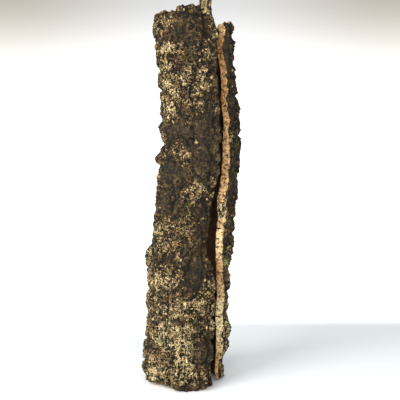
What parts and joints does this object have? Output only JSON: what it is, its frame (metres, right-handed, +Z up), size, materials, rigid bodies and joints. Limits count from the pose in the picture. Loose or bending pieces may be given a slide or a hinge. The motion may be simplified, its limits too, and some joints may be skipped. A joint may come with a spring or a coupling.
{
  "type": "cork bark tube",
  "caption": "Upright hollow tube of rough virgin cork bark, slit open along one side, with a torn rim and a splinter at the slit.",
  "frame": {"origin": "middle of the bounding box, on the surface that the tube stands on", "axes": "+Z up along the tube, -Y towards the side that the picture shows, +X to the picture's right, with the slit facing between -Y and +X"},
  "size_m": [0.1577, 0.1418, 0.6113],
  "materials": {
    "cork_bark": "rough grey-brown cork bark outside, tan to orange-brown cork where it is cut, torn or worn"
  },
  "bodies": {
    "root": {"cork_bark": "cork_bark"}
  },
  "joints": []
}
